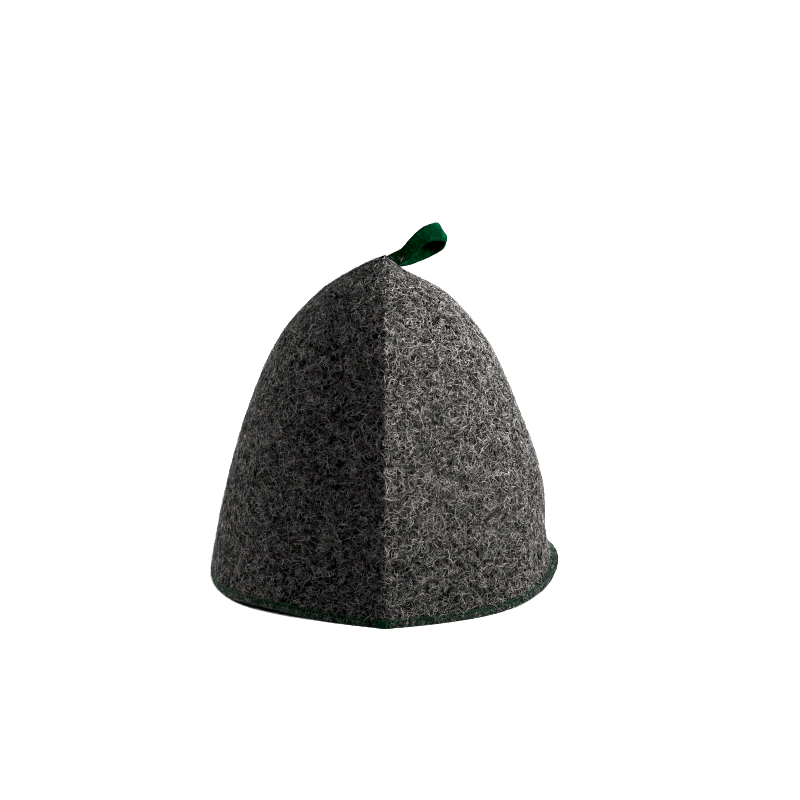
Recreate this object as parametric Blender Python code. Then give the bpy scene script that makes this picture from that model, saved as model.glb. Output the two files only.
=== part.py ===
"""Felt sauna hat: four gores that meet in creased seams, and a folded strip as hanging loop at the tip.

Metres, +Z up, the front seam towards -Y and the right side seam, with the loop, towards +X.
"""

import math
from dataclasses import dataclass

import bmesh
import bpy
from mathutils import Vector

# Main sizes of the hat as it stands on its rim.
HEIGHT = 0.1998
HALF_WIDTH = 0.1055
RIM_RISE = 0.0078
RIM_FADE = 0.28

# How far the flank holds its course from the front or back seam, as a share of the half width, and
# how far the shoulder holds its own from the side seam, as shares of the half depth.
FLANK = 0.50
SHOULDER_RIGHT = 0.66
SHOULDER_LEFT = 0.74

# Pressed wool felt and the way it is sewn. From the crown's share of HEIGHT upwards the allowances
# fill the tip.
FELT = 0.0030
EDGE_EASE = 0.0006
ALLOWANCE = 0.0056
CLEARANCE = 0.0003
CROWN_START = 0.972
CROWN_DEPTH = 0.0062

# The cloth strip of the hanging loop, and the shares of HEIGHT between which the right side seam
# opens to take its two ends.
STRIP_THICKNESS = 0.0013
STRIP_SUNK = 0.0052
LOOP_REACH = 0.0360
SLOT_CLOSED = 0.925
SLOT_OPEN = 0.953

# Mesh resolution. The edge columns and the edge level bound the narrow rounding at the felt's edges.
COLUMNS = 14
EDGE_COLUMN = 0.012
EDGE_LEVEL = 0.004
STRIP_COLUMNS = 6
STRIP_STEPS = 3
SHARP_DEGREES = 40.0

# One row for each level, from the rim to the tip. "up" is a share of HEIGHT. The two creases are in
# degrees, the turn of the flank away from square where it leaves the front or back seam. The others
# are shares of HALF_WIDTH, from the middle out to the seam on that side.
LEVELS = (
    # up, right, left, front, back, crease to the right, crease to the left
    (0.000, 1.016, 1.015, 1.000, 0.985, 10.0, 17.0),
    (0.030, 0.964, 1.010, 0.993, 0.980, 13.0, 18.0),
    (0.080, 0.938, 0.992, 0.977, 0.967, 18.0, 20.0),
    (0.160, 0.925, 0.966, 0.960, 0.953, 23.0, 23.0),
    (0.250, 0.925, 0.926, 0.940, 0.935, 26.0, 26.0),
    (0.340, 0.888, 0.890, 0.914, 0.909, 28.0, 28.0),
    (0.430, 0.832, 0.842, 0.872, 0.867, 29.0, 29.0),
    (0.520, 0.762, 0.787, 0.816, 0.812, 30.0, 30.0),
    (0.610, 0.696, 0.722, 0.748, 0.745, 30.0, 30.0),
    (0.690, 0.623, 0.652, 0.674, 0.672, 30.0, 30.0),
    (0.760, 0.540, 0.573, 0.590, 0.588, 29.0, 29.0),
    (0.820, 0.448, 0.478, 0.490, 0.488, 28.0, 28.0),
    (0.870, 0.358, 0.388, 0.394, 0.390, 26.0, 26.0),
    (0.910, 0.234, 0.296, 0.284, 0.266, 23.0, 23.0),
    (0.945, 0.120, 0.196, 0.178, 0.160, 20.0, 20.0),
    (0.975, 0.056, 0.098, 0.090, 0.080, 16.0, 16.0),
    (1.000, 0.000, 0.000, 0.000, 0.000, 12.0, 12.0),
)
UP, RIGHT, LEFT, FRONT, BACK, CREASE_RIGHT, CREASE_LEFT = range(7)

# How far the rim stands off the floor, as shares of RIM_RISE. "along" runs from the front or back
# seam at 0 to the side seam at 1.
RIM_LIFT = (
    # along, front right, front left, back left, back right
    (0.00, 0.00, 0.00, 0.00, 0.00),
    (0.20, 0.00, 0.10, 0.00, 0.00),
    (0.45, 0.00, 0.36, 0.14, 0.00),
    (0.60, 0.18, 0.32, 0.14, 0.18),
    (0.72, 0.42, 0.04, 0.06, 0.42),
    (0.82, 0.72, 0.00, 0.00, 0.72),
    (0.92, 0.95, 0.00, 0.00, 0.95),
    (1.00, 1.00, 0.00, 0.00, 1.00),
)


@dataclass(frozen=True)
class Gore:
    """One felt panel: the way it lies from the middle, and its columns in the tables."""

    name: str
    way_x: int
    way_y: int
    side: int
    end: int
    crease: int
    lift: int
    shoulder: float


GORES = (
    Gore("gore_front_right", 1, -1, RIGHT, FRONT, CREASE_RIGHT, 1, SHOULDER_RIGHT),
    Gore("gore_front_left", -1, -1, LEFT, FRONT, CREASE_LEFT, 2, SHOULDER_LEFT),
    Gore("gore_back_left", -1, 1, LEFT, BACK, CREASE_LEFT, 3, SHOULDER_LEFT),
    Gore("gore_back_right", 1, 1, RIGHT, BACK, CREASE_RIGHT, 4, SHOULDER_RIGHT),
)

# The strip from its front end, out to the fold and back to its other end. Each row is one line
# across the strip, from its upper edge to its lower edge, in shares of LOOP_REACH from the tip.
# "swell" is how far the strip bulges outwards from that line, most of all in its lower half.
STRIP = (
    # upper: out, back, rise; lower: out, back, rise; swell
    (0.028, -0.0222, -0.012, 0.230, -0.0222, -0.204, 0.0),
    (0.138, -0.032, 0.050, 0.308, -0.0222, -0.130, 0.0),
    (0.264, -0.080, 0.130, 0.434, -0.056, -0.045, 0.0),
    (0.394, -0.116, 0.290, 0.544, -0.089, 0.065, 0.0),
    (0.522, -0.132, 0.430, 0.628, -0.111, 0.185, 0.0),
    (0.650, -0.122, 0.526, 0.739, -0.126, 0.250, 0.004),
    (0.776, -0.080, 0.568, 0.855, -0.110, 0.264, 0.016),
    (0.858, -0.034, 0.570, 0.950, -0.080, 0.258, 0.036),
    (0.900, 0.020, 0.540, 1.000, -0.026, 0.222, 0.050),
    (0.894, 0.078, 0.470, 1.006, 0.030, 0.152, 0.052),
    (0.840, 0.128, 0.370, 0.972, 0.072, 0.070, 0.044),
    (0.718, 0.161, 0.230, 0.858, 0.106, -0.014, 0.014),
    (0.583, 0.150, 0.150, 0.717, 0.100, -0.085, 0.0),
    (0.456, 0.122, 0.090, 0.586, 0.078, -0.140, 0.0),
    (0.311, 0.083, 0.045, 0.425, 0.056, -0.196, 0.0),
    (0.167, 0.032, 0.010, 0.303, 0.0222, -0.208, 0.0),
    (0.028, 0.0222, -0.020, 0.230, 0.0222, -0.208, 0.0),
)


def smooth(rows, column, along):
    """Value of one column of a table where its first column is `along`, as a smooth curve."""
    last = len(rows) - 1
    at = next((i for i in range(last) if along <= rows[i + 1][0]), last - 1)
    here = rows[at]
    there = rows[at + 1]
    before = rows[max(at - 1, 0)]
    after = rows[min(at + 2, last)]
    span = there[0] - here[0]
    share = (along - here[0]) / span
    leave = (there[column] - before[column]) / (there[0] - before[0]) * span
    arrive = (after[column] - here[column]) / (after[0] - here[0]) * span
    rise = there[column] - here[column]
    bend = 3 * rise - 2 * leave - arrive
    twist = leave + arrive - 2 * rise
    return here[column] + share * (leave + share * (bend + share * twist))


def eased(share):
    """Smooth step from 0 to 1."""
    share = min(max(share, 0.0), 1.0)
    return share * share * (3 - 2 * share)


def slot_half_gap(gore, up):
    """Half the space in the side seam: a sewing gap, wider where the strip's two ends lie in it."""
    if gore.side != RIGHT:
        return CLEARANCE / 2
    held = eased((up - SLOT_CLOSED) / (SLOT_OPEN - SLOT_CLOSED))
    wide = STRIP_THICKNESS + 1.5 * CLEARANCE
    return CLEARANCE / 2 + held * (wide - CLEARANCE / 2)


def outer_point(gore, up, along):
    """Point of a gore's outer face, with X and Y both counted outwards from the middle."""
    side = smooth(LEVELS, gore.side, up) * HALF_WIDTH
    end = smooth(LEVELS, gore.end, up) * HALF_WIDTH
    crease = math.radians(smooth(LEVELS, gore.crease, up))
    seam = Vector((0.0, end))
    flank = seam + FLANK * side * Vector((math.cos(crease), -math.sin(crease)))
    shoulder = Vector((side, gore.shoulder * end))
    corner = Vector((side, 0.0))
    rest = 1 - along
    flat = (
        rest**3 * seam
        + 3 * rest**2 * along * flank
        + 3 * rest * along**2 * shoulder
        + along**3 * corner
    )
    fade = max(0.0, 1 - up / RIM_FADE) ** 2
    lift = max(0.0, smooth(RIM_LIFT, gore.lift, along)) * RIM_RISE * fade
    x = max(flat.x, CLEARANCE / 2)
    y = max(flat.y, slot_half_gap(gore, up))
    return Vector((x, y, up * HEIGHT + lift))


def outward(gore, up, along):
    """Unit normal of the outer face."""
    step = 1e-3
    low = max(up - step, 0.0)
    high = min(up + step, 0.999)
    left = max(along - step, 0.0)
    right = min(along + step, 1.0)
    rise = outer_point(gore, high, along) - outer_point(gore, low, along)
    run = outer_point(gore, up, right) - outer_point(gore, up, left)
    return rise.cross(run).normalized()


def above_rim(gore, up, along, point):
    """Keep a point of the felt's thickness on the rim's cut edge, or a little above it."""
    rim = outer_point(gore, 0.0, along).z
    point.z = rim if up == 0.0 else max(point.z, rim + 0.5 * EDGE_LEVEL * HEIGHT)
    return point


def felt_point(gore, up, along, depth):
    """Point inside the felt at a depth below its outer face; the rim is cut square to the floor."""
    point = outer_point(gore, up, along) - depth * outward(gore, up, along)
    return above_rim(gore, up, along, point)


def inner_point(gore, up, along):
    """Point of a gore's inner face, one felt thickness in from the outer face."""
    return felt_point(gore, up, along, FELT - (EDGE_EASE if up == 0.0 else 0.0))


def eased_point(gore, up, along):
    """Point of the outer face, drawn in a little at the seams and at the rim's edge."""
    at_edge = up == 0.0 or along in (0.0, 1.0)
    point = felt_point(gore, up, along, EDGE_EASE if at_edge else 0.0)
    if along == 0.0:
        point.x = CLEARANCE / 2
    if along == 1.0:
        point.y = slot_half_gap(gore, up)
    return point


def column_shares():
    """Shares along a gore at which its columns stand, with a narrow one at each seam."""
    middle = [EDGE_COLUMN + (1 - 2 * EDGE_COLUMN) * i / COLUMNS for i in range(COLUMNS + 1)]
    return [0.0, *middle, 1.0]


def along_where(gore, up, axis, value):
    """Share along the gore at which its inner face crosses a plane of constant X or Y."""
    low, high = 0.0, 1.0
    for _ in range(30):
        middle = (low + high) / 2
        past = inner_point(gore, up, middle)[axis] > value
        if past == (axis == 0):
            high = middle
        else:
            low = middle
    return (low + high) / 2


def allowance_edge(gore, up, along, axis):
    """Inner edge of a seam allowance: square in from the seam line, inside the seam's plane."""
    step = 2e-3
    low = outer_point(gore, max(up - step, 0.0), along)
    high = outer_point(gore, min(up + step, 0.999), along)
    run = high - low
    run[1 - axis] = 0.0
    if axis == 0:
        inward = Vector((-run.z, 0.0, run.x)).normalized()
    else:
        inward = Vector((0.0, -run.z, run.y)).normalized()
    return above_rim(gore, up, along, outer_point(gore, up, along) + ALLOWANCE * inward)


def level_ring(gore, up):
    """Closed ring of points around a gore's felt at one level."""
    side_gap = slot_half_gap(gore, up)
    outer = [eased_point(gore, up, along) for along in column_shares()]
    start = along_where(gore, up, 0, CLEARANCE / 2 + FELT)
    stop = along_where(gore, up, 1, side_gap + FELT)
    inner = [inner_point(gore, up, start + (stop - start) * share) for share in column_shares()]
    side_edge = allowance_edge(gore, up, 1.0, 0)
    end_edge = allowance_edge(gore, up, 0.0, 1)
    side_inner = side_edge + Vector((0.0, FELT, 0.0))
    end_inner = end_edge + Vector((FELT, 0.0, 0.0))
    return [*outer, side_edge, side_inner, *reversed(inner), end_inner, end_edge]


def crown_ring(gore, up):
    """Ring of the solid tip, where the allowances meet and fill the gore's corner."""
    outer = [outer_point(gore, up, along) for along in column_shares()]
    depth = CROWN_DEPTH if up < 1.0 else 0.0
    corner = Vector((CLEARANCE / 2, slot_half_gap(gore, up), up * HEIGHT - depth))
    return [*outer, *[corner] * (len(outer) + 4)]


def gore_levels():
    """Levels of the loft: two steps for each row of LEVELS, the rim's edge and the crown's start."""
    ups = [row[UP] for row in LEVELS]
    halves = [(low + high) / 2 for low, high in zip(ups, ups[1:])]
    return sorted([*ups, *halves, EDGE_LEVEL, CROWN_START])


def build_gore(gore, material):
    """One felt panel as a closed body with its two seam allowances turned in."""
    mesh = bmesh.new()
    rows = []
    for up in gore_levels():
        ring = crown_ring(gore, up) if up >= CROWN_START else level_ring(gore, up)
        rows.append([mesh.verts.new((gore.way_x * at.x, gore.way_y * at.y, at.z)) for at in ring])
    for lower, upper in zip(rows, rows[1:]):
        for i in range(len(lower)):
            j = (i + 1) % len(lower)
            mesh.faces.new((lower[i], lower[j], upper[j], upper[i]))
    close_rim(mesh, rows[0])
    if gore.way_x == gore.way_y:
        bmesh.ops.reverse_faces(mesh, faces=mesh.faces)
    finish_mesh(mesh, gore.name, material)


def close_rim(mesh, ring):
    """Faces across the felt's thickness along the rim, and across both allowances."""
    count = len(column_shares())
    outer = ring[:count]
    side_edge, side_inner = ring[count : count + 2]
    inner = ring[count + 2 : 2 * count + 2][::-1]
    end_inner, end_edge = ring[2 * count + 2 :]
    for i in range(count - 1):
        mesh.faces.new((outer[i], inner[i], inner[i + 1], outer[i + 1]))
    mesh.faces.new((outer[-1], inner[-1], side_inner, side_edge))
    mesh.faces.new((end_edge, end_inner, inner[0], outer[0]))


def strip_lines():
    """Lines across the strip from one end to the other, each with its swell, in smooth steps."""
    rows = [(float(i), *row) for i, row in enumerate(STRIP)]
    tip = Vector((0.0, 0.0, HEIGHT))
    lines = []
    for i in range((len(STRIP) - 1) * STRIP_STEPS + 1):
        at = [smooth(rows, column, i / STRIP_STEPS) * LOOP_REACH for column in range(1, 8)]
        lines.append((tip + Vector(at[:3]), tip + Vector(at[3:6]), at[6]))
    return [sunk_line(lines[0], -1), *lines, sunk_line(lines[-1], 1)]


def sunk_line(line, way):
    """End of the strip, held in the side seam between the allowances."""
    upper, lower, swell = line
    across = lower - upper
    into = Vector((across.z, 0.0, -across.x)).normalized() * STRIP_SUNK
    y = way * (STRIP_THICKNESS + CLEARANCE) / 2
    ends = [Vector((point.x, y, point.z)) + into for point in (upper, lower)]
    for end in ends:
        end.x = max(end.x, 2 * CLEARANCE)
    return (*ends, swell)


def bulge(share):
    """How far a line across the strip stands out, from none at its edges to 1 in its lower half."""
    return 9.48 * share**3 * (1 - share)


def build_strip(material):
    """The hanging loop as one folded strip."""
    lines = strip_lines()
    mesh = bmesh.new()
    rings = []
    for i, (upper, lower, swell) in enumerate(lines):
        before = lines[max(i - 1, 0)]
        after = lines[min(i + 1, len(lines) - 1)]
        run = (after[0] + after[1]) - (before[0] + before[1])
        inwards = run.cross(lower - upper).normalized()
        shares = [k / STRIP_COLUMNS for k in range(STRIP_COLUMNS + 1)]
        cells = [upper.lerp(lower, share) - inwards * swell * bulge(share) for share in shares]
        normal = inwards * STRIP_THICKNESS / 2
        front = [point + normal for point in cells]
        rings.append(front + [point - normal for point in reversed(cells)])
    rows = [[mesh.verts.new(point) for point in ring] for ring in rings]
    for first, second in zip(rows, rows[1:]):
        for i in range(len(first)):
            j = (i + 1) % len(first)
            mesh.faces.new((first[i], first[j], second[j], second[i]))
    mesh.faces.new(rows[0])
    mesh.faces.new(rows[-1])
    bmesh.ops.recalc_face_normals(mesh, faces=mesh.faces)
    finish_mesh(mesh, "hanging_loop", material)


def finish_mesh(mesh, name, material):
    """Weld the points that meet and put the mesh into the scene as a named object."""
    bmesh.ops.remove_doubles(mesh, verts=mesh.verts, dist=1e-6)
    data = bpy.data.meshes.new(name)
    mesh.to_mesh(data)
    mesh.free()
    data.materials.append(material)
    data.shade_smooth()
    data.set_sharp_from_angle(angle=math.radians(SHARP_DEGREES))
    part = bpy.data.objects.new(name, data)
    bpy.context.scene.collection.objects.link(part)


def cloth(name, colour, roughness):
    """Plain cloth material."""
    material = bpy.data.materials.new(name)
    material.use_nodes = True
    shader = material.node_tree.nodes["Principled BSDF"]
    shader.inputs["Base Color"].default_value = (*colour, 1.0)
    shader.inputs["Roughness"].default_value = roughness
    shader.inputs["Metallic"].default_value = 0.0
    material.diffuse_color = (*colour, 1.0)
    return material


def main():
    """Clear the scene and build the hat."""
    for old in list(bpy.context.scene.objects):
        bpy.data.objects.remove(old, do_unlink=True)
    for gore in GORES:
        build_gore(gore, cloth(f"felt_{gore.name}", (0.055, 0.052, 0.050), 0.95))
    build_strip(cloth("green_cloth", (0.004, 0.062, 0.024), 0.9))


main()
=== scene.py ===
"""Looks of the felt sauna hat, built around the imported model.

The four gores get their melange felt and the curly wool that lies on it, the rim and the seams their
green overlock thread, and the hanging loop its napped green felt. Lengths are in metres, +Z is up and
the camera looks along +Y.
"""

import logging
import math
from dataclasses import dataclass
from enum import Enum
from typing import ClassVar

import bmesh
import bpy
import numpy as np
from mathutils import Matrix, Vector, noise
from mathutils.bvhtree import BVHTree


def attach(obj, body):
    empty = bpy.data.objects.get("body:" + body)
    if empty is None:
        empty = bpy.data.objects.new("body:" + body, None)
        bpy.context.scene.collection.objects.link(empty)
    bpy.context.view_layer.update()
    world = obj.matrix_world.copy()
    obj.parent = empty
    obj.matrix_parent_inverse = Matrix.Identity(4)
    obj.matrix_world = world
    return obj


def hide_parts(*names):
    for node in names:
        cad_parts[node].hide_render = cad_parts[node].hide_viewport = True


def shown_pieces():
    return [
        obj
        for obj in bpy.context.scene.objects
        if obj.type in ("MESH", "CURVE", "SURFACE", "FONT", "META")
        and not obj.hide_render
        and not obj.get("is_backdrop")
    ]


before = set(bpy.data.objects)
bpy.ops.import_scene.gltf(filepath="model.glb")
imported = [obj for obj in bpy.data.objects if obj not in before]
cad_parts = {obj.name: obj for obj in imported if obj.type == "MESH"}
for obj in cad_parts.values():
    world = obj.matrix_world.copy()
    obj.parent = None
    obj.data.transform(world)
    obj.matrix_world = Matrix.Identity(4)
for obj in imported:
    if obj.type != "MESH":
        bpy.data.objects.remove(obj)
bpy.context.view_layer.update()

GORES = ("gore_front_right", "gore_front_left", "gore_back_left", "gore_back_right")
LOOP = "hanging_loop"
BODY = "root"
FELT_SLOT = "felt"
LOOP_SLOT = "loop_cloth"

Colour = tuple[float, float, float]
Place = tuple[float, float, float]
Stops = tuple[tuple[float, Colour], ...]
Point = np.ndarray


class FeltSide(Enum):
    """Which face of the felt something lies on."""

    OUTSIDE = 1
    INSIDE = -1


class WoolTone(Enum):
    """The natural wools blended in the felt, darkest first."""

    BLACK = (0.0035, 0.0033, 0.0031)
    CHARCOAL = (0.012, 0.0115, 0.011)
    GREY = (0.065, 0.0625, 0.060)
    PALE = (0.200, 0.193, 0.185)
    WHITE = (0.430, 0.415, 0.395)


class GreenTone(Enum):
    """The greens of the loop's nap and of the thread, darkest first."""

    DEEP = (0.0004, 0.009, 0.0035)
    FIR = (0.0006, 0.026, 0.0095)
    GRASS = (0.0015, 0.052, 0.021)


class Bench:
    """A material whose nodes are laid out one after another."""

    def __init__(self, name: str) -> None:
        """Starts a material of that name with its own shader."""
        self.material = bpy.data.materials.new(name)
        self.material.use_nodes = True
        self.nodes = self.material.node_tree.nodes
        self.shader = self.nodes["Principled BSDF"]

    def add(self, kind: str, inputs: dict[str, object] | None = None, **traits: object) -> bpy.types.Node:
        """Adds a node.

        Args:
            kind: Blender's name for the kind of node.
            inputs: values of its sockets, by the socket's name.
            **traits: values of its own properties.

        Returns:
            The new node.
        """
        node = self.nodes.new(kind)
        for name, value in traits.items():
            setattr(node, name, value)
        for name, value in (inputs or {}).items():
            node.inputs[name].default_value = value
        return node

    def join(self, source: bpy.types.NodeSocket, target: bpy.types.NodeSocket) -> None:
        """Links one socket to another."""
        self.material.node_tree.links.new(source, target)

    def spots(self, where: bpy.types.NodeSocket, scale: float, detail: float) -> bpy.types.NodeSocket:
        """Cloudy noise at a place.

        Args:
            where: the socket that gives the place.
            scale: clouds to the metre.
            detail: how many finer layers it has.

        Returns:
            The noise's value socket.
        """
        node = self.add("ShaderNodeTexNoise", {"Scale": scale, "Detail": detail, "Roughness": 0.6})
        self.join(where, node.inputs["Vector"])
        return node.outputs["Fac"]

    def ramp(self, value: bpy.types.NodeSocket, stops: Stops) -> bpy.types.NodeSocket:
        """Turns a value into a colour.

        Args:
            value: the socket that gives the value.
            stops: places from 0 to 1, each with its colour.

        Returns:
            The colour socket.
        """
        node = self.add("ShaderNodeValToRGB")
        elements = node.color_ramp.elements
        while len(elements) < len(stops):
            elements.new(0.5)
        for element, (place, colour) in zip(elements, stops):
            element.position = place
            element.color = (*colour, 1.0)
        self.join(value, node.inputs["Fac"])
        return node.outputs["Color"]

    def mix(
        self, share: bpy.types.NodeSocket, low: bpy.types.NodeSocket, high: bpy.types.NodeSocket
    ) -> bpy.types.NodeSocket:
        """Blends two colours.

        Args:
            share: the socket that gives the second colour's share.
            low: the first colour.
            high: the second colour.

        Returns:
            The blended colour's socket.
        """
        node = self.add("ShaderNodeMix", data_type="RGBA")
        self.join(share, node.inputs["Factor"])
        self.join(low, node.inputs[6])
        self.join(high, node.inputs[7])
        return node.outputs[2]


@dataclass(frozen=True)
class FeltFinish:
    """Pressed melange wool between the fibres that stand out: a dark ground with paler curls in it."""

    name: str = "felt_ground"
    ground: Colour = (0.0012, 0.0011, 0.0010)
    cloud: Colour = (0.0030, 0.0028, 0.0026)
    dull_curl: Colour = (0.006, 0.0057, 0.0054)
    pale_curl: Colour = (0.045, 0.0435, 0.0415)
    clouds: float = 170.0
    curl_scales: tuple[float, ...] = (260.0, 340.0, 430.0)
    curl_turns: tuple[float, ...] = (2.0, 1.8, 1.6)
    curl_width: float = 0.09
    curl_shift: Place = (0.37, 0.11, 0.23)
    relief: float = 0.0003

    def curls(
        self, bench: Bench, where: bpy.types.NodeSocket, scale: float, turns: float
    ) -> bpy.types.NodeSocket:
        """Thin crooked lines, as of wool that lies in the surface: the contours of a soft noise.

        Args:
            bench: the material being laid out.
            where: the socket that gives the place.
            scale: swells of the noise to the metre.
            turns: contours from its least to its greatest value.

        Returns:
            A value socket, 1 on a line and 0 off it.
        """
        swells = bench.spots(where, scale, 1.0)
        wound = bench.add("ShaderNodeMath", operation="MULTIPLY")
        bench.join(swells, wound.inputs[0])
        wound.inputs[1].default_value = turns * 2.0
        fold = bench.add("ShaderNodeMath", operation="PINGPONG")
        bench.join(wound.outputs[0], fold.inputs[0])
        fold.inputs[1].default_value = 0.5
        line = bench.add(
            "ShaderNodeMapRange", {"From Max": self.curl_width, "To Min": 1.0, "To Max": 0.0}, clamp=True
        )
        bench.join(fold.outputs[0], line.inputs["Value"])
        return line.outputs["Result"]

    def material(self) -> bpy.types.Material:
        """Builds the material."""
        bench = Bench(self.name)
        place = bench.add("ShaderNodeTexCoord").outputs["Object"]
        colour = bench.ramp(
            bench.spots(place, self.clouds, 3.0), ((0.38, self.ground), (0.62, self.cloud))
        )
        relief = None
        for number, (scale, turns) in enumerate(zip(self.curl_scales, self.curl_turns)):
            shift = bench.add("ShaderNodeVectorMath", operation="ADD")
            bench.join(place, shift.inputs[0])
            across, deep, up = self.curl_shift
            shift.inputs[1].default_value = (across * number, deep, up * number)
            moved = shift.outputs["Vector"]
            tone = bench.ramp(
                bench.spots(moved, self.clouds, 2.0), ((0.40, self.dull_curl), (0.60, self.pale_curl))
            )
            line = self.curls(bench, moved, scale, turns)
            colour = bench.mix(line, colour, tone)
            if relief is None:
                relief = line
            else:
                higher = bench.add("ShaderNodeMath", operation="MAXIMUM")
                bench.join(relief, higher.inputs[0])
                bench.join(line, higher.inputs[1])
                relief = higher.outputs[0]
        bench.join(colour, bench.shader.inputs["Base Color"])
        bump = bench.add("ShaderNodeBump", {"Strength": 0.7, "Distance": self.relief})
        bench.join(relief, bump.inputs["Height"])
        bench.join(bump.outputs["Normal"], bench.shader.inputs["Normal"])
        bench.shader.inputs["Roughness"].default_value = 1.0
        bench.shader.inputs["Specular IOR Level"].default_value = 0.0
        return bench.material


@dataclass(frozen=True)
class StrandFinish:
    """A single fibre or thread of one colour."""

    name: str
    colour: Colour
    roughness: float = 0.8
    sheen: float = 0.0
    gloss: float = 0.03

    def material(self) -> bpy.types.Material:
        """Builds the material."""
        bench = Bench(self.name)
        bench.shader.inputs["Base Color"].default_value = (*self.colour, 1.0)
        bench.shader.inputs["Roughness"].default_value = self.roughness
        bench.shader.inputs["Specular IOR Level"].default_value = self.gloss
        bench.shader.inputs["Sheen Weight"].default_value = self.sheen
        bench.shader.inputs["Sheen Roughness"].default_value = 0.5
        return bench.material


@dataclass(frozen=True)
class LoopFinish:
    """The loop's dyed felt: mottled green with a soft nap."""

    name: str = "loop_felt"
    deep: Colour = (0.0001, 0.007, 0.0018)
    green: Colour = (0.0002, 0.025, 0.0090)
    bright: Colour = (0.0010, 0.052, 0.0210)
    clouds: float = 330.0
    grain: float = 1500.0

    def material(self) -> bpy.types.Material:
        """Builds the material."""
        bench = Bench(self.name)
        place = bench.add("ShaderNodeTexCoord").outputs["Object"]
        clouds = bench.spots(place, self.clouds, 4.0)
        colour = bench.ramp(clouds, ((0.30, self.deep), (0.52, self.green), (0.74, self.bright)))
        bench.join(colour, bench.shader.inputs["Base Color"])
        grain = bench.spots(place, self.grain, 2.0)
        bump = bench.add("ShaderNodeBump", {"Strength": 0.8, "Distance": 0.0003})
        bench.join(grain, bump.inputs["Height"])
        bench.join(bump.outputs["Normal"], bench.shader.inputs["Normal"])
        bench.shader.inputs["Roughness"].default_value = 0.9
        bench.shader.inputs["Specular IOR Level"].default_value = 0.0
        return bench.material


@dataclass(frozen=True)
class Triangles:
    """Triangles of a surface: their corners, the way they face and their areas."""

    corners: np.ndarray
    normals: np.ndarray
    areas: np.ndarray
    outward_rise: ClassVar[float] = 0.35
    least_facing: ClassVar[float] = 0.3

    @staticmethod
    def of(mesh: bpy.types.Mesh) -> "Triangles":
        """Reads a mesh's triangles."""
        mesh.calc_loop_triangles()
        points = np.empty(len(mesh.vertices) * 3)
        mesh.vertices.foreach_get("co", points)
        index = np.empty(len(mesh.loop_triangles) * 3, np.int32)
        mesh.loop_triangles.foreach_get("vertices", index)
        corners = points.reshape(-1, 3)[index].reshape(-1, 3, 3)
        across = np.cross(corners[:, 1] - corners[:, 0], corners[:, 2] - corners[:, 0])
        length = np.linalg.norm(across, axis=1)
        return Triangles(corners, across / np.maximum(length, 1e-15)[:, None], length / 2)

    def only(self, kept: np.ndarray) -> "Triangles":
        """The triangles that a mask keeps."""
        return Triangles(self.corners[kept], self.normals[kept], self.areas[kept])

    def facing(self, side: FeltSide) -> "Triangles":
        """The triangles of a hollow form's outer or inner face.

        Args:
            side: the face that is wanted.

        Returns:
            The triangles that look away from the upright axis, or towards it.
        """
        away = self.corners.mean(axis=1) * (1.0, 1.0, 0.0)
        away /= np.maximum(np.linalg.norm(away, axis=1), 1e-9)[:, None]
        away[:, 2] = self.outward_rise
        return self.only((self.normals * away).sum(axis=1) * side.value > self.least_facing)

    def scatter(self, count: int, dice: np.random.Generator) -> tuple[np.ndarray, np.ndarray]:
        """Spreads points over the triangles.

        Args:
            count: how many points.
            dice: the seeded source of chance.

        Returns:
            The points and the way that the surface faces at each.
        """
        picked = dice.choice(len(self.areas), count, p=self.areas / self.areas.sum())
        first = np.sqrt(dice.random(count))[:, None]
        second = dice.random(count)[:, None]
        a, b, c = (self.corners[picked, i] for i in range(3))
        return (1 - first) * a + first * (1 - second) * b + first * second * c, self.normals[picked]


def way_out(angle: float, elevation: float) -> Vector:
    """The way from the hat at two angles in degrees, from the front rightwards and upwards."""
    turn, rise = math.radians(angle), math.radians(elevation)
    return Vector((math.sin(turn) * math.cos(rise), -math.cos(turn) * math.cos(rise), math.sin(rise)))


def unit(vectors: np.ndarray) -> np.ndarray:
    """Vectors at length one, along their last axis."""
    return vectors / np.maximum(np.linalg.norm(vectors, axis=-1, keepdims=True), 1e-12)


def tree_of(meshes: list[bpy.types.Mesh]) -> BVHTree:
    """A search tree over the triangles of some meshes."""
    corners = np.concatenate([Triangles.of(mesh).corners for mesh in meshes]).reshape(-1, 3)
    index = np.arange(len(corners)).reshape(-1, 3)
    return BVHTree.FromPolygons(corners.tolist(), index.tolist())


def mesh_piece(
    name: str,
    points: np.ndarray,
    faces: np.ndarray,
    materials: list[bpy.types.Material],
    which: np.ndarray | None = None,
    smooth: bool = True,
) -> bpy.types.Object:
    """Makes one object of the scene from arrays.

    Args:
        name: the piece's name.
        points: its points, one row each.
        faces: its faces, one row of point numbers each.
        materials: its materials, in the order that which counts them.
        which: the number of each face's material, or None for the first.
        smooth: whether its faces are shaded round.

    Returns:
        The object.
    """
    mesh = bpy.data.meshes.new(name)
    sides = faces.shape[1]
    mesh.vertices.add(len(points))
    mesh.vertices.foreach_set("co", np.asarray(points, np.float32).ravel())
    mesh.loops.add(faces.size)
    mesh.loops.foreach_set("vertex_index", faces.astype(np.int32).ravel())
    mesh.polygons.add(len(faces))
    mesh.polygons.foreach_set("loop_start", np.arange(len(faces), dtype=np.int32) * sides)
    mesh.update(calc_edges=True)
    mesh.polygons.foreach_set("use_smooth", np.full(len(faces), smooth))
    for material in materials:
        mesh.materials.append(material)
    if which is not None:
        mesh.polygons.foreach_set("material_index", which.astype(np.int32))
    mesh.validate()
    piece = bpy.data.objects.new(name, mesh)
    bpy.context.scene.collection.objects.link(piece)
    return piece


def report(piece: bpy.types.Object) -> None:
    """Logs a piece's name and its count of triangles."""
    piece.data.calc_loop_triangles()
    logging.info("%s: %d triangles", piece.name, len(piece.data.loop_triangles))


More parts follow.
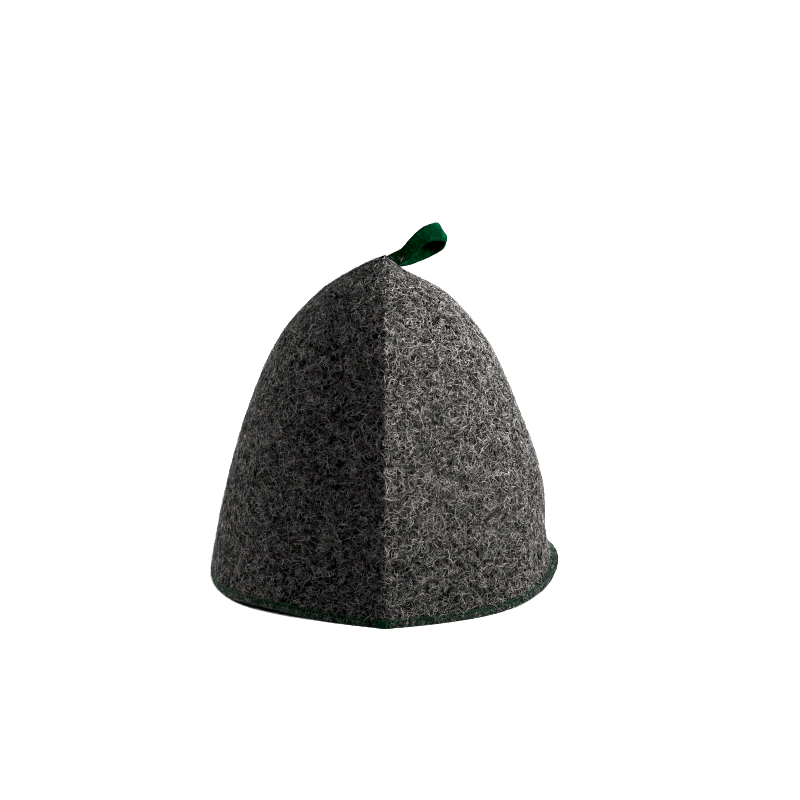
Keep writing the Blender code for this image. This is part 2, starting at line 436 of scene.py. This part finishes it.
def fit(piece: bpy.types.Object, slot: str, *nodes: str) -> bpy.types.Object:
    """Sets a piece on the hat's body.

    Args:
        piece: the finished piece.
        slot: the name of a material slot of the record; not used.
        *nodes: the solids of the model that it stands for.

    Returns:
        The piece.
    """
    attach(piece, BODY)
    if nodes:
        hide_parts(*nodes)
    report(piece)
    return piece


@dataclass
class SoftShell:
    """A solid of the model with its edges rounded and its faces uneven, as pressed wool is.

    Along the seams, which lie in the planes of the axis, sewing has drawn the pieces together.
    """

    node: str
    drawn: float = 0.0
    drawn_reach: float = 0.0020
    seam_face: float = 0.0003
    sharp_edge: float = 50.0
    sharpness: float = 0.0
    rounds: int = 2
    weld: float = 0.00001
    wave: float = 0.024
    wave_height: float = 0.00040
    lump: float = 0.0055
    lump_height: float = 0.00016

    def rounded(self) -> bpy.types.Mesh:
        """A copy of the node's mesh in quads, subdivided."""
        form = bmesh.new()
        form.from_mesh(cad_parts[self.node].data)
        bmesh.ops.remove_doubles(form, verts=form.verts, dist=self.weld)
        bmesh.ops.join_triangles(
            form,
            faces=form.faces,
            angle_face_threshold=math.radians(30),
            angle_shape_threshold=math.radians(50),
        )
        bmesh.ops.recalc_face_normals(form, faces=form.faces)
        crease = form.edges.layers.float.new("crease_edge")
        for edge in form.edges:
            if edge.calc_face_angle(0.0) > math.radians(self.sharp_edge):
                edge[crease] = self.sharpness
        coarse = bpy.data.meshes.new(self.node)
        form.to_mesh(coarse)
        form.free()
        holder = bpy.data.objects.new(self.node, coarse)
        bpy.context.scene.collection.objects.link(holder)
        modifier = holder.modifiers.new("rounding", "SUBSURF")
        modifier.levels = self.rounds
        modifier.render_levels = self.rounds
        fine = bpy.data.meshes.new_from_object(holder.evaluated_get(bpy.context.evaluated_depsgraph_get()))
        bpy.data.objects.remove(holder)
        return fine

    def uneven(self, mesh: bpy.types.Mesh) -> None:
        """Moves a mesh's points in and out by soft waves and small lumps, and draws its seams shut."""
        normals = [vertex.normal.copy() for vertex in mesh.vertices]
        reach = self.drawn_reach - self.seam_face
        for vertex, normal in zip(mesh.vertices, normals):
            place = vertex.co.copy()
            wave = noise.noise(place / self.wave) * self.wave_height
            lump = noise.noise(place / self.lump) * self.lump_height
            vertex.co += normal * (wave + lump)
            for way in (0, 1) if self.drawn else ():
                share = min(max((self.drawn_reach - abs(place[way])) / reach, 0.0), 1.0)
                shut = place[way] - math.copysign(self.drawn, place[way])
                vertex.co[way] += (shut - vertex.co[way]) * share
            vertex.co.z = max(vertex.co.z, 0.0)

    def build(self, name: str, material: bpy.types.Material) -> bpy.types.Object:
        """Makes the piece.

        Args:
            name: the piece's name.
            material: its material.

        Returns:
            The object, smooth and in its place.
        """
        mesh = self.rounded()
        self.uneven(mesh)
        mesh.name = name
        mesh.materials.clear()
        mesh.materials.append(material)
        mesh.polygons.foreach_set("use_smooth", np.full(len(mesh.polygons), True))
        mesh.polygons.foreach_set("material_index", np.zeros(len(mesh.polygons), np.int32))
        piece = bpy.data.objects.new(name, mesh)
        bpy.context.scene.collection.objects.link(piece)
        return piece


class HatForm:
    """The outside of the four gores, asked by the angle round the hat and the height."""

    far = 0.3
    beside = 0.0006
    off_floor = 0.0004
    edge_limit = 0.020
    steep_at = 0.0026
    brow = 0.012

    def __init__(self, tree: BVHTree) -> None:
        """Keeps the search tree of the gores, and follows the rim once round."""
        self.tree = tree
        self.angles = np.radians(np.arange(0.0, 361.0, 2.0))
        self.edges = np.array([self.edge_height(angle) for angle in self.angles])
        self.steepness = np.array([self.steep(angle) for angle in self.angles])

    def outside(self, angle: float, height: float) -> tuple[Vector, Vector] | None:
        """Where a level line from outside meets the felt.

        Args:
            angle: the angle round the hat from the front, rightwards.
            height: the height over the floor.

        Returns:
            The point and the way that the felt faces there, or None where the line passes under the rim.
        """
        away = Vector((math.sin(angle), -math.cos(angle), 0.0))
        aside = Vector((-away.y, away.x, 0.0))
        found = []
        for shift in (-self.beside, 0.0, self.beside):
            start = away * self.far + aside * shift + Vector((0.0, 0.0, height))
            point, normal, _, gap = self.tree.ray_cast(start, -away, self.far)
            if point is not None:
                found.append((gap, point, normal))
        if not found:
            return None
        _, point, normal = min(found, key=lambda hit: hit[0])
        return point, normal

    def edge_height(self, angle: float) -> float:
        """The height of the rim's cut edge at an angle round the hat."""
        low, high = 0.0, self.edge_limit
        if self.outside(angle, low + self.off_floor) is not None:
            return low
        for _ in range(9):
            middle = (low + high) / 2
            if self.outside(angle, middle) is None:
                low = middle
            else:
                high = middle
        return high

    def steep(self, angle: float) -> float:
        """How steep the felt is just over the rim at an angle: 1 upright, less where it flares."""
        _, normal = self.outside(angle, max(self.edge_height(angle), self.off_floor) + self.steep_at)
        return math.hypot(normal.x, normal.y)

    def over_rim(self, points: Point) -> np.ndarray:
        """How far points lie over the rim's cut edge, measured along the felt."""
        turned = np.arctan2(points[..., 0], -points[..., 1]) % math.tau
        edge = np.interp(turned, self.angles, self.edges)
        return (points[..., 2] - edge) / np.interp(turned, self.angles, self.steepness)

    def perimeter(self) -> float:
        """The length of the rim, round the outside."""
        corners = [self.outside(math.radians(step), self.brow)[0] for step in range(360)]
        return sum((a - b).length for a, b in zip(corners, corners[1:] + corners[:1]))


@dataclass
class WoolCover:
    """Curly fibres that lie on a felt surface, as narrow ribbons that bend with it."""

    name: str
    shares: tuple[float, ...]
    count: int
    seed: int
    form: HatForm | None = None
    shortest: float = 0.0022
    longest: float = 0.0088
    narrowest: float = 0.00008
    widest: float = 0.00017
    steps: int = 3
    curl: float = 1.8
    sway: float = 0.8
    ripple: float = 0.0006
    bed: float = 0.00010
    arch: float = 0.00055
    loose: float = 0.14
    loose_rise: float = 0.0017
    overhang: float = 0.0006
    turn_limit: float = 0.25
    cloud: float = 0.0060
    cloud_pull: float = 0.14
    bare_under: float = 0.0
    bare_share: float = 0.0
    bare_spot: tuple[Place, float] = ((0.0, 0.0, 0.0), 0.0)
    length_draw: tuple[float, float] = (1.6, 2.4)
    sway_turns: float = 1.3
    ripple_turns: tuple[float, float] = (0.8, 2.2)
    across_axis: Place = (0.31, 0.17, 0.93)
    rolled: float = 0.6
    taper_at: tuple[float, ...] = (0.0, 0.25, 0.7, 1.0)
    taper: tuple[float, ...] = (0.35, 1.0, 0.9, 0.2)

    def sow(self, surface: Triangles, dice: np.random.Generator) -> tuple[np.ndarray, np.ndarray]:
        """Spreads the fibres, thinner over the band of the rim's thread and none over its tack.

        Args:
            surface: the triangles that they are sown on.
            dice: the seeded source of chance.

        Returns:
            The places and the way that the surface faces at each.
        """
        sown, normals = surface.scatter(self.count * 2, dice)
        low = np.zeros(len(sown), bool) if self.form is None else self.form.over_rim(sown) < self.bare_under
        clear = np.linalg.norm(sown - self.bare_spot[0], axis=1) > self.bare_spot[1]
        kept = np.flatnonzero(clear & (~low | (dice.random(len(sown)) > self.bare_share)))[: self.count]
        return sown[kept], normals[kept]

    def walk(self, dice: np.random.Generator) -> tuple[np.ndarray, np.ndarray]:
        """Draws the fibres flat.

        Args:
            dice: the seeded source of chance.

        Returns:
            Each fibre's points in the plane, and the height of each point over it.
        """
        share = np.linspace(0.0, 1.0, self.steps + 1)
        length = self.shortest + (self.longest - self.shortest) * dice.beta(*self.length_draw, self.count)
        turn = dice.normal(0.0, self.curl, self.count)[:, None]
        sway = dice.uniform(0.0, self.sway, self.count)[:, None]
        phase = dice.uniform(0.0, math.tau, self.count)[:, None]
        start = dice.uniform(0.0, math.tau, self.count)[:, None]
        heading = start + turn * share + sway * np.sin(math.tau * self.sway_turns * share + phase)
        step = (length / self.steps)[:, None, None] * np.stack([np.cos(heading), np.sin(heading)], axis=-1)
        flat = np.cumsum(step, axis=1)
        flat -= flat.mean(axis=1, keepdims=True)
        arch = dice.random(self.count)[:, None] ** 2 * self.arch
        height = self.bed + arch * np.sin(math.pi * share)
        waves = dice.uniform(*self.ripple_turns, self.count)[:, None]
        ripple = dice.random(self.count)[:, None] ** 2 * self.ripple
        height = height + ripple * (1.0 - np.cos(math.tau * waves * share + phase)) / 2
        free = (dice.random(self.count) < self.loose)[:, None]
        height = height + free * dice.random(self.count)[:, None] * self.loose_rise * share**2
        return flat, height

    def settle(
        self, tree: BVHTree, points: np.ndarray, normals: np.ndarray, height: np.ndarray
    ) -> tuple[np.ndarray, np.ndarray]:
        """Lays flat fibres on the surface.

        Args:
            tree: the search tree of the surface.
            points: each fibre's points, beside the surface.
            normals: the way that the surface faces where each fibre was sown.
            height: the height of each point over the surface.

        Returns:
            The points where they lie, and the way that the surface faces at each.
        """
        laid = points.copy()
        facing = np.repeat(normals[:, None, :], points.shape[1], axis=1)
        for i, fibre in enumerate(points):
            for j, point in enumerate(fibre):
                spot, normal, _, gap = tree.find_nearest(point)
                laid[i, j] = spot
                if normal.dot(normals[i]) > self.turn_limit:
                    facing[i, j] = normal
                else:
                    laid[i, j] += (point - laid[i, j]) * min(1.0, self.overhang / max(gap, 1e-9))
        laid += facing * height[:, :, None]
        laid[:, :, 2] = np.maximum(laid[:, :, 2], self.widest)
        return laid, facing

    def tone_numbers(self, points: np.ndarray, dice: np.random.Generator) -> np.ndarray:
        """Chooses each fibre's tone, with the pale ones in clouds.

        Args:
            points: the place where each fibre was sown.
            dice: the seeded source of chance.

        Returns:
            The number of each fibre's tone.
        """
        clouds = np.array([noise.noise(Vector(point) / self.cloud) for point in points])
        drawn = np.clip(dice.random(len(points)) + clouds * self.cloud_pull, 0.0, 0.9999)
        limits = np.cumsum(self.shares) / sum(self.shares)
        return np.searchsorted(limits, drawn, side="right")

    def grow(
        self, surface: Triangles, tree: BVHTree, materials: list[bpy.types.Material]
    ) -> bpy.types.Object:
        """Grows the fibres.

        Args:
            surface: the triangles that they are sown on.
            tree: the search tree that they are laid on.
            materials: the materials of the tones, in the tones' order.

        Returns:
            One object that holds them all.
        """
        dice = np.random.default_rng(self.seed)
        sown, normals = self.sow(surface, dice)
        flat, height = self.walk(dice)
        along = unit(np.cross(normals, self.across_axis))
        across = np.cross(normals, along)
        points = sown[:, None] + flat[:, :, :1] * along[:, None] + flat[:, :, 1:] * across[:, None]
        laid, facing = self.settle(tree, points, normals, height)
        run = unit(np.gradient(laid, axis=1))
        level = unit(np.cross(facing, run))
        roll = dice.normal(0.0, self.rolled, self.count)[:, None, None]
        aside = level * np.cos(roll) + facing * np.sin(roll)
        taper = np.interp(np.linspace(0, 1, self.steps + 1), self.taper_at, self.taper)
        width = dice.uniform(self.narrowest, self.widest, self.count)[:, None] * taper / 2
        edges = np.stack([laid - aside * width[:, :, None], laid + aside * width[:, :, None]], axis=2)
        first = np.arange(self.count)[:, None] * 2 * (self.steps + 1) + np.arange(self.steps) * 2
        faces = np.stack([first, first + 1, first + 3, first + 2], axis=-1).reshape(-1, 4)
        which = np.repeat(self.tone_numbers(sown, dice), self.steps)
        return mesh_piece(self.name, edges.reshape(-1, 3), faces, materials, which)


@dataclass
class ThreadWork:
    """Lengths of sewing thread, as thin round strands."""

    name: str
    thickness: float = 0.00042
    sides: int = 5

    def build(
        self, paths: np.ndarray, upright: np.ndarray, materials: list[bpy.types.Material], seed: int
    ) -> bpy.types.Object:
        """Makes the strands.

        Args:
            paths: the points of each strand, all with the same number of points.
            upright: a direction across each point's run, such as the way that the felt faces.
            materials: the tones of thread, of which each strand takes one.
            seed: the seed of that choice.

        Returns:
            One object that holds all strands.
        """
        count, length = paths.shape[:2]
        run = unit(np.gradient(paths, axis=1))
        aside = unit(np.cross(run, upright))
        up = np.cross(aside, run)
        turn = np.arange(self.sides) * math.tau / self.sides
        ring = np.cos(turn)[:, None] * aside[:, :, None] + np.sin(turn)[:, None] * up[:, :, None]
        points = paths[:, :, None] + ring * self.thickness / 2
        points[..., 2] = np.maximum(points[..., 2], 0.0)
        strand = np.arange(count)[:, None, None] * length * self.sides
        level = strand + np.arange(length - 1)[None, :, None] * self.sides
        here = np.arange(self.sides)[None, None, :]
        there = (here + 1) % self.sides
        faces = np.stack(
            [level + here, level + there, level + self.sides + there, level + self.sides + here], axis=-1
        ).reshape(-1, 4)
        tone = np.random.default_rng(seed).integers(0, len(materials), count)
        which = np.repeat(tone, (length - 1) * self.sides)
        return mesh_piece(self.name, points.reshape(-1, 3), faces, materials, which)


@dataclass
class RimOverlock:
    """The green overlock stitch over the rim's cut edge, with a close tack where the front seam ends."""

    form: HatForm
    pitch: float = 0.0021
    band: float = 0.0052
    felt: float = 0.0030
    proud: float = 0.00010
    tack_left: float = 0.0038
    tack_right: float = 0.0026
    tack_pitch: float = 0.00042
    least_up: float = 0.0009
    hook_at: float = 0.6
    turn_at: float = 0.14
    under: float = 0.00005
    edge_play: tuple[float, float] = (0.3, 0.7)
    tack_play: float = 0.3
    second_lead: float = 0.12
    dash_share: float = 0.96
    dash_rises: tuple[tuple[float, float], ...] = (
        (0.0, -0.0004),
        (0.15, 0.0001),
        (0.5, 0.00016),
        (0.85, 0.0001),
        (1.0, -0.0004),
    )

    def spot(self, angle: float, up: float, side: FeltSide) -> tuple[Point, Point]:
        """A place on the band.

        Args:
            angle: the angle round the hat.
            up: the distance over the cut edge.
            side: the face of the felt.

        Returns:
            The place and the way that the felt faces there.
        """
        edge = self.form.edge_height(angle)
        up *= float(np.interp(angle % math.tau, self.form.angles, self.form.steepness))
        point, normal = self.form.outside(angle, max(edge, self.form.off_floor) + max(up, self.least_up))
        point = np.array(point)
        facing = unit(np.array(normal))
        point[2] = edge + up
        if side is FeltSide.INSIDE:
            return point - facing * (self.felt + self.proud), -facing
        return point + facing * self.proud, facing

    def wrap(self, start: float, middle: float, end: float) -> tuple[list[Point], list[Point]]:
        """One turn of thread: down the outside, under the edge and up the inside.

        Args:
            start: the angle where it leaves the needle line outside.
            middle: the angle where it passes the edge.
            end: the angle where it reaches the needle line inside.

        Returns:
            Its points, and a direction across the run at each.
        """
        route = [
            (start, self.band, FeltSide.OUTSIDE),
            ((start + middle) / 2, self.band * self.hook_at, FeltSide.OUTSIDE),
            (middle, self.band * self.turn_at, FeltSide.OUTSIDE),
            (middle, -self.under, FeltSide.OUTSIDE),
            (middle, -self.under, FeltSide.INSIDE),
            (middle, self.band * self.turn_at, FeltSide.INSIDE),
            ((middle + end) / 2, self.band * self.hook_at, FeltSide.INSIDE),
            (end, self.band, FeltSide.INSIDE),
        ]
        spots = [self.spot(*step) for step in route]
        return [spot[0] for spot in spots], [spot[1] for spot in spots]

    def dash(self, start: float, end: float) -> tuple[list[Point], list[Point]]:
        """One stitch of the needle line on the outside.

        Args:
            start: the angle where the thread comes out of the felt.
            end: the angle where it goes in again.

        Returns:
            Its points, and a direction across the run at each.
        """
        points, facings = [], []
        for share, rise in self.dash_rises:
            point, facing = self.spot(start + (end - start) * share, self.band, FeltSide.OUTSIDE)
            points.append(point + facing * rise)
            facings.append(facing)
        return points, facings

    def build(self, threads: list[bpy.types.Material]) -> list[bpy.types.Object]:
        """Sews the rim.

        Args:
            threads: the tones of green thread.

        Returns:
            The wraps, the needle line and the tack, one object each.
        """
        dice = np.random.default_rng(41)
        stitches = round(self.form.perimeter() / self.pitch)
        step = math.tau / stitches
        wraps, dashes = [], []
        for number in range(stitches):
            start = number * step
            edge = start + step * dice.uniform(*self.edge_play)
            wraps.append(self.wrap(start, edge, start + step * 0.5))
            wraps.append(self.wrap(start + step, edge + step * self.second_lead, start + step * 0.5))
            dashes.append(self.dash(start, start + step * self.dash_share))
        radius = abs(self.form.outside(0.0, self.form.brow)[0].y)
        places = np.arange(-self.tack_left, self.tack_right, self.tack_pitch) / radius
        play = self.tack_play * step
        tack = [self.wrap(place, place + dice.uniform(-1.0, 1.0) * play, place) for place in places]
        made = []
        for name, lengths, seed in (
            ("rim_overlock_wraps", wraps, 5),
            ("rim_needle_line", dashes, 6),
            ("front_seam_tack", tack, 7),
        ):
            paths, upright = (np.array([length[i] for length in lengths]) for i in (0, 1))
            made.append(ThreadWork(name).build(paths, upright, threads, seed))
        return made


@dataclass
class SeamOverlock:
    """The overlock stitch along the turned-in edges of one seam, inside the hat."""

    form: HatForm
    angle: float
    name: str
    lowest: float = 0.0075
    highest: float = 0.176
    pitch: float = 0.0026
    half_width: float = 0.0031
    depth: float = 0.0042
    proud: float = 0.0001

    def inner_edge(self, height: float, shift: float) -> Vector | None:
        """Where a level line from the axis meets the seam's turned-in edge.

        Args:
            height: the height over the floor.
            shift: the distance to the seam's side.

        Returns:
            The point, or None where nothing is met.
        """
        away = Vector((math.sin(self.angle), -math.cos(self.angle), 0.0))
        aside = Vector((-away.y, away.x, 0.0))
        start = aside * shift + Vector((0.0, 0.0, height))
        return self.form.tree.ray_cast(start, away)[0]

    def build(self, threads: list[bpy.types.Material]) -> bpy.types.Object:
        """Sews the seam.

        Args:
            threads: the tones of green thread.

        Returns:
            The object that holds its wraps.
        """
        away = np.array((math.sin(self.angle), -math.cos(self.angle), 0.0))
        aside = np.array((-away[1], away[0], 0.0))
        paths, upright = [], []
        for height in np.arange(self.lowest, self.highest, self.pitch):
            edge = self.inner_edge(height, self.half_width * 0.6)
            if edge is None:
                continue
            middle = np.array(edge) - aside * self.half_width * 0.6
            wide = self.half_width + self.proud
            route = (
                (-wide, self.depth, 0.0, -1.0),
                (-wide, self.depth * 0.4, 0.3, -1.0),
                (-wide * 0.9, 0.0, 0.45, -0.7),
                (-wide * 0.4, -self.proud, 0.5, 0.0),
                (wide * 0.4, -self.proud, 0.55, 0.0),
                (wide * 0.9, 0.0, 0.6, 0.7),
                (wide, self.depth * 0.4, 0.8, 1.0),
                (wide, self.depth, 1.0, 1.0),
            )
            rise = np.array((0.0, 0.0, self.pitch))
            paths.append([middle + aside * x + away * y + rise * z for x, y, z, _ in route])
            upright.append([unit(aside * lean - away * (1 - abs(lean))) for _, _, _, lean in route])
        return ThreadWork(self.name).build(np.array(paths), np.array(upright), threads, round(self.angle * 9))


@dataclass
class FeltHat:
    """The four gores with the wool on them and the thread that holds them."""

    pale_fibres: int = 20500
    dark_fibres: int = 3500
    inner_fibres: int = 1500
    drawn: float = 0.00018
    sharpness: float = 0.75
    pale_shares: tuple[float, ...] = (0.0, 0.0, 0.40, 0.40, 0.20)
    dark_shares: tuple[float, ...] = (0.4, 0.6, 0.0, 0.0, 0.0)
    inner_shares: tuple[float, ...] = (0.18, 0.26, 0.22, 0.22, 0.12)
    band: float = 0.0056
    band_bare: float = 0.90
    fuzz_shares: tuple[float, ...] = (0.40, 0.40, 0.20)
    speck_shares: tuple[float, ...] = (0.15, 0.15, 0.35, 0.25, 0.10)
    fuzz_lengths: tuple[float, float] = (0.0010, 0.0036)
    fuzz_heights: tuple[float, float, float] = (0.00018, 0.00035, 0.0007)
    thread_fuzz: int = 5200
    band_specks: int = 4200
    band_low: float = 0.0036
    tack_spot: tuple[Place, float] = ((-0.0006, -0.1050, 0.0030), 0.0040)

    def __post_init__(self) -> None:
        """Makes the finishes that the gores share."""
        self.felt = FeltFinish().material()
        self.wool = [StrandFinish(f"wool_{tone.name.lower()}", tone.value).material() for tone in WoolTone]
        self.thread = [
            StrandFinish(f"thread_{tone.name.lower()}", tone.value, 0.5, 0.2).material() for tone in GreenTone
        ]

    def cover(self, node: str, number: int, felt: bpy.types.Object, form: HatForm) -> None:
        """Lays the wool on one gore.

        Args:
            node: the gore's name in the model.
            number: its number, which seeds its wool.
            felt: its felt.
            form: the form of all four gores.
        """
        surface = Triangles.of(felt.data)
        face = surface.facing(FeltSide.OUTSIDE)
        tree = form.tree
        for layer, shares, count, seed in (
            ("dark", self.dark_shares, self.dark_fibres, 300),
            ("pale", self.pale_shares, self.pale_fibres, 100),
        ):
            wool = WoolCover(
                f"{node}_{layer}_wool",
                shares,
                count,
                seed + number,
                form,
                bare_under=self.band,
                bare_share=self.band_bare,
                bare_spot=self.tack_spot,
            )
            fit(wool.grow(face, tree, self.wool), FELT_SLOT)
        inner = WoolCover(f"{node}_inner_wool", self.inner_shares, self.inner_fibres, 200 + number)
        fit(inner.grow(surface.facing(FeltSide.INSIDE), tree, self.wool), FELT_SLOT)

    def fuzz(self, felts: list[bpy.types.Object], form: HatForm) -> None:
        """Lays the short fuzz on the rim's band: frayed thread, and ends of wool that come through it.

        Args:
            felts: the four gores' felts.
            form: the form of all four gores.
        """
        faces = [Triangles.of(felt.data).facing(FeltSide.OUTSIDE) for felt in felts]
        joined = Triangles(
            np.concatenate([face.corners for face in faces]),
            np.concatenate([face.normals for face in faces]),
            np.concatenate([face.areas for face in faces]),
        )
        over = form.over_rim(joined.corners.mean(axis=1))
        band, low = joined.only(over < self.band), joined.only(over < self.band_low)
        green = WoolCover("rim_thread_fuzz", self.fuzz_shares, self.thread_fuzz, 404)
        pale = WoolCover("rim_wool_ends", self.speck_shares, self.band_specks, 405)
        pale.bare_spot = self.tack_spot
        for cover, place, tones, slot in (
            (green, band, self.thread, LOOP_SLOT),
            (pale, low, self.wool, FELT_SLOT),
        ):
            cover.shortest, cover.longest = self.fuzz_lengths
            cover.bed, cover.arch, cover.loose_rise = self.fuzz_heights
            fit(cover.grow(place, form.tree, tones), slot)

    def build(self) -> None:
        """Builds the gores, lays the wool on them, then sews rim and seams."""
        felts = [
            fit(
                SoftShell(node, drawn=self.drawn, sharpness=self.sharpness).build(f"{node}_felt", self.felt),
                FELT_SLOT,
                node,
            )
            for node in GORES
        ]
        form = HatForm(tree_of([felt.data for felt in felts]))
        for number, (node, felt) in enumerate(zip(GORES, felts)):
            self.cover(node, number, felt, form)
        for piece in RimOverlock(form).build(self.thread):
            fit(piece, LOOP_SLOT)
        self.fuzz(felts, form)
        for side, angle in (("front", 0.0), ("right", 0.5), ("back", 1.0), ("left", 1.5)):
            seam = SeamOverlock(form, angle * math.pi, f"{side}_seam_overlock")
            fit(seam.build(self.thread), LOOP_SLOT)


@dataclass
class HangingLoop:
    """The folded strip of green felt at the tip, with its short nap."""

    wool: list[bpy.types.Material]
    nap: int = 2600
    stray_hairs: int = 30
    base: float = 0.011
    front_facing: float = 0.2

    def build(self) -> None:
        """Builds the strip and its nap."""
        shell = SoftShell(LOOP, rounds=2, wave=0.009, wave_height=0.00012, lump=0.0016, lump_height=0.00009)
        strip = fit(shell.build("hanging_loop_felt", LoopFinish().material()), LOOP_SLOT, LOOP)
        greens = [StrandFinish(f"nap_{tone.name.lower()}", tone.value, 0.8).material() for tone in GreenTone]
        cover = WoolCover(
            "hanging_loop_nap",
            (0.3, 0.45, 0.25),
            self.nap,
            77,
            shortest=0.0008,
            longest=0.0024,
            narrowest=0.00010,
            widest=0.00022,
            bed=0.00005,
            arch=0.00025,
            loose=0.12,
            loose_rise=0.0008,
            overhang=0.0003,
            cloud=0.0025,
        )
        surface, tree = Triangles.of(strip.data), tree_of([strip.data])
        fit(cover.grow(surface, tree, greens), LOOP_SLOT)
        base = surface.only(
            (surface.corners[:, :, 0].mean(axis=1) < self.base)
            & (surface.normals[:, 1] < -self.front_facing)
        )
        stray = WoolCover(
            "loop_base_hairs",
            (0.0, 0.0, 0.6, 0.4, 0.0),
            self.stray_hairs,
            78,
            longest=0.0100,
            widest=0.00024,
            arch=0.0012,
            loose=0.6,
            overhang=0.003,
        )
        fit(stray.grow(base, tree, self.wool), FELT_SLOT)


@dataclass(frozen=True)
class Lamp:
    """A square soft lamp round the hat: angles in degrees, from the front rightwards and upwards.

    It points at the given height over the hat's middle; a narrow beam dims away from there.
    """

    name: str
    angle: float
    elevation: float
    away: float
    side: float
    watts: float
    height: float = 0.11
    beam: float = 180.0

    def hang(self) -> None:
        """Hangs the lamp so that it lights the hat alone."""
        light = bpy.data.lights.new(self.name, "AREA")
        light.shape = "SQUARE"
        light.size = self.side
        light.energy = self.watts
        light.spread = math.radians(self.beam)
        way = way_out(self.angle, self.elevation)
        holder = bpy.data.objects.new(self.name, light)
        holder.location = Vector((0.0, 0.0, self.height)) + way * self.away
        holder.rotation_euler = (-way).to_track_quat("-Z", "Y").to_euler()
        bpy.context.scene.collection.objects.link(holder)
        lit = bpy.data.collections.new(f"{self.name}_lights")
        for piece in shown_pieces():
            lit.objects.link(piece)
        holder.light_linking.receiver_collection = lit


@dataclass
class Studio:
    """The pale floor, the soft light from the right and the camera at the photograph's angle."""

    aim: Place = (0.0091, 0.0, 0.1086)
    distance: float = 2.2
    elevation: float = 17.2
    lens: float = 163.0
    sensor: float = 36.0
    sight: float = 50.0
    floor_half: float = 9.0
    floor_colour: Colour = (0.82, 0.82, 0.82)
    floor_wash: float = 4.0
    wash_spread: float = 24.0
    graze: float = 12.0
    graze_angle: float = 55.0
    graze_rise: float = 19.0
    room_light: float = 0.03
    filter_width: float = 1.15
    black: float = 0.0035
    lamps: tuple[Lamp, ...] = (
        Lamp("key", 80.0, 12.0, 1.3, 0.45, 4.5, height=0.23, beam=28.0),
        Lamp("fill", -62.0, 6.0, 1.6, 0.25, 1.8, height=0.05, beam=60.0),
        Lamp("rim", 235.0, 20.0, 1.6, 0.6, 30.0),
    )

    def floor(self) -> None:
        """Lays the floor and lights it alone: evenly from above, and low from the right."""
        bench = Bench("pale_floor")
        bench.shader.inputs["Base Color"].default_value = (*self.floor_colour, 1.0)
        bench.shader.inputs["Roughness"].default_value = 1.0
        bench.shader.inputs["Specular IOR Level"].default_value = 0.0
        half = self.floor_half
        corners = np.array([(-half, -half, 0.0), (half, -half, 0.0), (half, half, 0.0), (-half, half, 0.0)])
        floor = mesh_piece("floor", corners, np.array([[0, 1, 2, 3]]), [bench.material])
        floor.visible_diffuse = False
        floor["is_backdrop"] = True
        lit = bpy.data.collections.new("floor_only")
        lit.objects.link(floor)
        for name, strength, angle, rise in (
            ("floor_wash", self.floor_wash, 0.0, 90.0),
            ("floor_graze", self.graze, self.graze_angle, self.graze_rise),
        ):
            sun = bpy.data.lights.new(name, "SUN")
            sun.energy = strength
            sun.angle = math.radians(self.wash_spread)
            holder = bpy.data.objects.new(name, sun)
            holder.rotation_euler = (-way_out(angle, rise)).to_track_quat("-Z", "Y").to_euler()
            bpy.context.scene.collection.objects.link(holder)
            holder.light_linking.receiver_collection = lit

    def room(self) -> None:
        """Lights the room: white where the camera sees it, dimmer as a lamp."""
        world = bpy.data.worlds.new("studio")
        world.use_nodes = True
        tree = world.node_tree
        path = tree.nodes.new("ShaderNodeLightPath")
        strength = tree.nodes.new("ShaderNodeMapRange")
        strength.inputs["To Min"].default_value = self.room_light
        strength.inputs["To Max"].default_value = 1.0
        tree.links.new(path.outputs["Is Camera Ray"], strength.inputs["Value"])
        tree.nodes["Background"].inputs["Color"].default_value = (1.0, 1.0, 1.0, 1.0)
        tree.links.new(strength.outputs["Result"], tree.nodes["Background"].inputs["Strength"])
        bpy.context.scene.world = world

    def camera(self) -> None:
        """Sets the camera."""
        lens = bpy.data.cameras.new("camera")
        lens.lens = self.lens
        lens.sensor_width = self.sensor
        lens.clip_end = self.sight
        holder = bpy.data.objects.new("camera", lens)
        holder.location = Vector(self.aim) + way_out(0.0, self.elevation) * self.distance
        holder.rotation_euler = (math.radians(90.0 - self.elevation), 0.0, 0.0)
        bpy.context.scene.collection.objects.link(holder)
        bpy.context.scene.camera = holder

    def build(self) -> None:
        """Sets up floor, lamps, room and camera."""
        self.floor()
        for lamp in self.lamps:
            lamp.hang()
        self.room()
        self.camera()
        view = bpy.context.scene.view_settings
        view.view_transform = "Standard"
        view.use_curve_mapping = True
        view.curve_mapping.black_level = (self.black,) * 3
        view.curve_mapping.update()
        bpy.context.scene.cycles.filter_width = self.filter_width
        bpy.context.scene.cycles.denoising_prefilter = "NONE"


def main() -> None:
    """Builds the hat and its studio."""
    logging.basicConfig(level=logging.INFO, format="%(message)s")
    hat = FeltHat()
    hat.build()
    HangingLoop(hat.wool).build()
    Studio().build()


if __name__ == "__main__":
    main()
